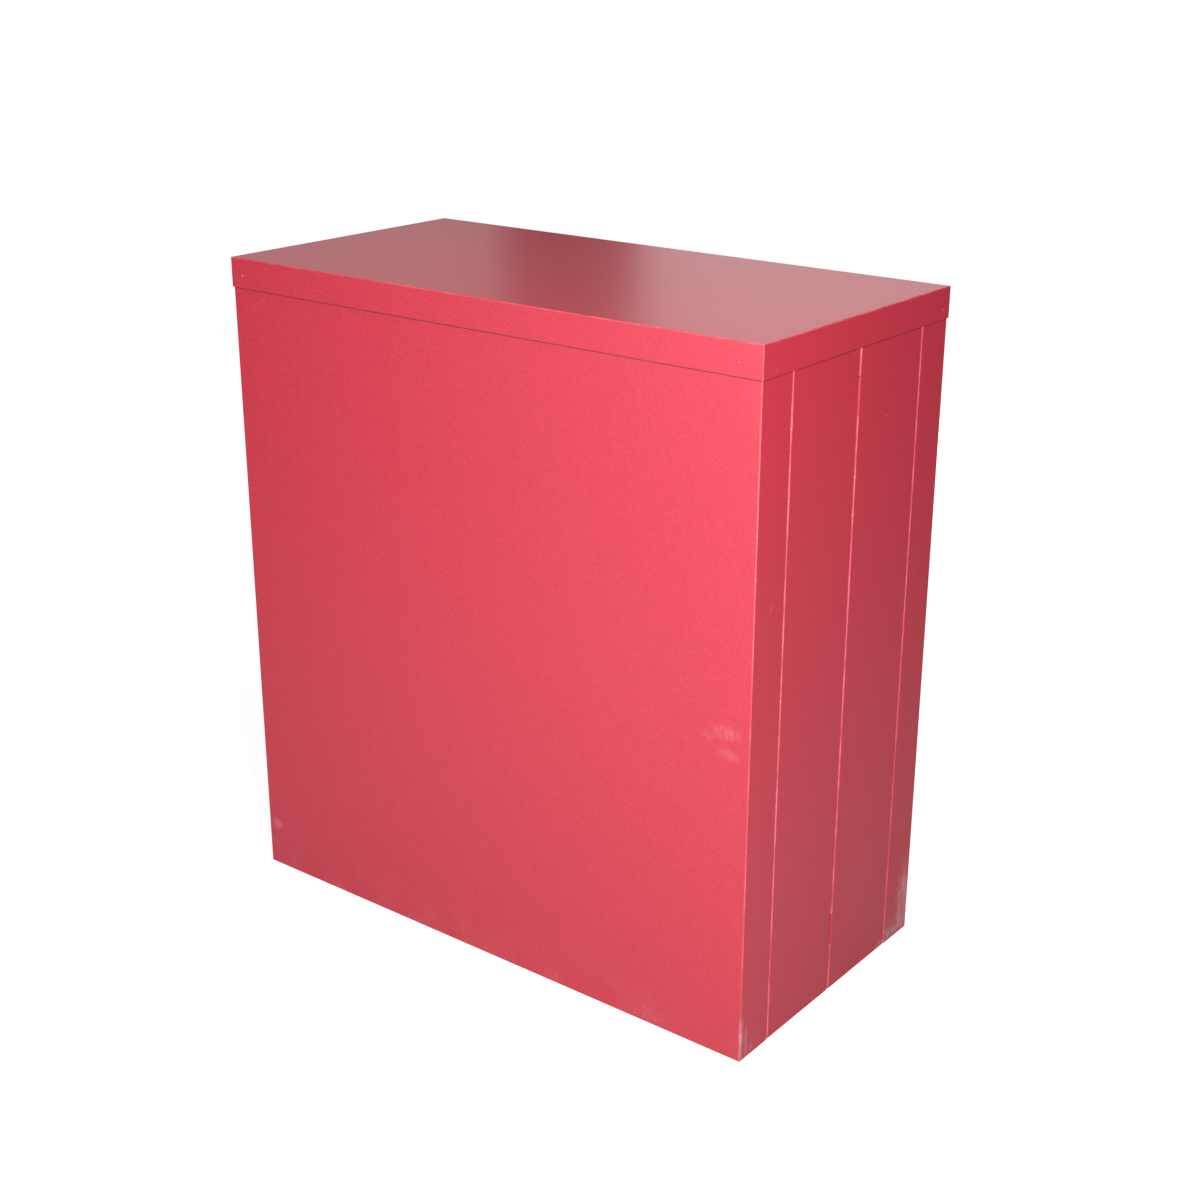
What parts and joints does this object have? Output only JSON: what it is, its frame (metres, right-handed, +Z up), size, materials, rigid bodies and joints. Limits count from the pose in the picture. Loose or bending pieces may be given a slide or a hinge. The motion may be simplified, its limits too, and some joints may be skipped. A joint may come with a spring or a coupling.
{
  "type": "folding steel box with lift-off lid",
  "caption": "Plain red sheet-steel box whose ends fold inwards so that it packs flat, with a lift-off cap lid and a shelf that swings up.",
  "frame": {"origin": "middle of the box's base, on the floor", "axes": "+Z up, -Y out of the wide front panel, X along the long side"},
  "size_m": [1.0008, 0.497, 1.07],
  "materials": {
    "red_powder_coat": "satin powder coat with fine orange peel",
    "hinge_plate": "painted over with the body",
    "hinge_pin": "bright zinc",
    "rivet": "dull"
  },
  "bodies": {
    "front_panel": {"front_panel": "red_powder_coat", "front_panel_rivets": "rivet", "front_panel_channels": "red_powder_coat", "right_front_hinge_panel_plates": "hinge_plate", "right_front_hinge_pins": "hinge_pin", "left_front_hinge_panel_plates": "hinge_plate", "left_front_hinge_pins": "hinge_pin", "shelf_front_rail": "red_powder_coat", "shelf_hinge_rail_plates": "hinge_plate", "shelf_hinge_pins": "hinge_pin"},
    "right_front_leaf": {"right_front_leaf": "red_powder_coat", "right_front_leaf_rivets": "rivet", "right_front_leaf_channel": "red_powder_coat", "right_front_hinge_leaf_plates": "hinge_plate", "right_centre_hinge_front_plates": "hinge_plate", "right_centre_hinge_pins": "hinge_pin"},
    "right_back_leaf": {"right_back_leaf": "red_powder_coat", "right_back_leaf_rivets": "rivet", "right_back_leaf_channel": "red_powder_coat", "right_back_hinge_leaf_plates": "hinge_plate", "right_centre_hinge_back_plates": "hinge_plate", "right_back_hinge_pins": "hinge_pin"},
    "back_panel": {"back_panel": "red_powder_coat", "back_panel_rivets": "rivet", "back_panel_channels": "red_powder_coat", "right_back_hinge_panel_plates": "hinge_plate", "left_back_hinge_panel_plates": "hinge_plate", "shelf_back_rail": "red_powder_coat"},
    "left_front_leaf": {"left_front_leaf": "red_powder_coat", "left_front_leaf_rivets": "rivet", "left_front_leaf_channel": "red_powder_coat", "left_front_hinge_leaf_plates": "hinge_plate", "left_centre_hinge_front_plates": "hinge_plate", "left_centre_hinge_pins": "hinge_pin"},
    "left_back_leaf": {"left_back_leaf": "red_powder_coat", "left_back_leaf_rivets": "rivet", "left_back_leaf_channel": "red_powder_coat", "left_back_hinge_leaf_plates": "hinge_plate", "left_centre_hinge_back_plates": "hinge_plate", "left_back_hinge_pins": "hinge_pin"},
    "shelf": {"shelf": "red_powder_coat", "shelf_rivets": "rivet", "shelf_hinge_shelf_plates": "hinge_plate"},
    "lid": {"lid": "red_powder_coat", "lid_channels": "red_powder_coat"}
  },
  "joints": [
    {"name": "fold", "type": "hinge", "parent": "front_panel", "child": "right_front_leaf", "pos_m": [0.4877, -0.173, 0], "axis": [0, 0, 1], "range_deg": [0, 90]},
    {"name": "right_centre_hinge", "type": "hinge", "parent": "right_front_leaf", "child": "right_back_leaf", "pos_m": [0.4984, 0, 0], "axis": [0, 0, 1], "range_deg": [-180, 0]},
    {"name": "right_back_hinge", "type": "hinge", "parent": "right_back_leaf", "child": "back_panel", "pos_m": [0.4877, 0.173, 0], "axis": [0, 0, 1], "range_deg": [0, 90]},
    {"name": "left_front_hinge", "type": "hinge", "parent": "front_panel", "child": "left_front_leaf", "pos_m": [-0.4877, -0.173, 0], "axis": [0, 0, 1], "range_deg": [-90, 0]},
    {"name": "left_centre_hinge", "type": "hinge", "parent": "left_front_leaf", "child": "left_back_leaf", "pos_m": [-0.4984, 0, 0], "axis": [0, 0, 1], "range_deg": [0, 180]},
    {"name": "shelf_hinge", "type": "hinge", "parent": "front_panel", "child": "shelf", "pos_m": [0, -0.2417, 0.5625], "axis": [1, 0, 0], "range_deg": [0, 90]},
    {"name": "lid_lift", "type": "slide", "parent": "front_panel", "child": "lid", "axis": [0, 0, 1], "range_m": [0, 0.25]}
  ],
  "couplings": [
    {"joint": "right_centre_hinge", "follows": "fold", "ratio": -2},
    {"joint": "right_back_hinge", "follows": "fold", "ratio": 1},
    {"joint": "left_front_hinge", "follows": "fold", "ratio": -1},
    {"joint": "left_centre_hinge", "follows": "fold", "ratio": 2},
    {"joint": "shelf_hinge", "follows": "fold", "ratio": 1}
  ]
}
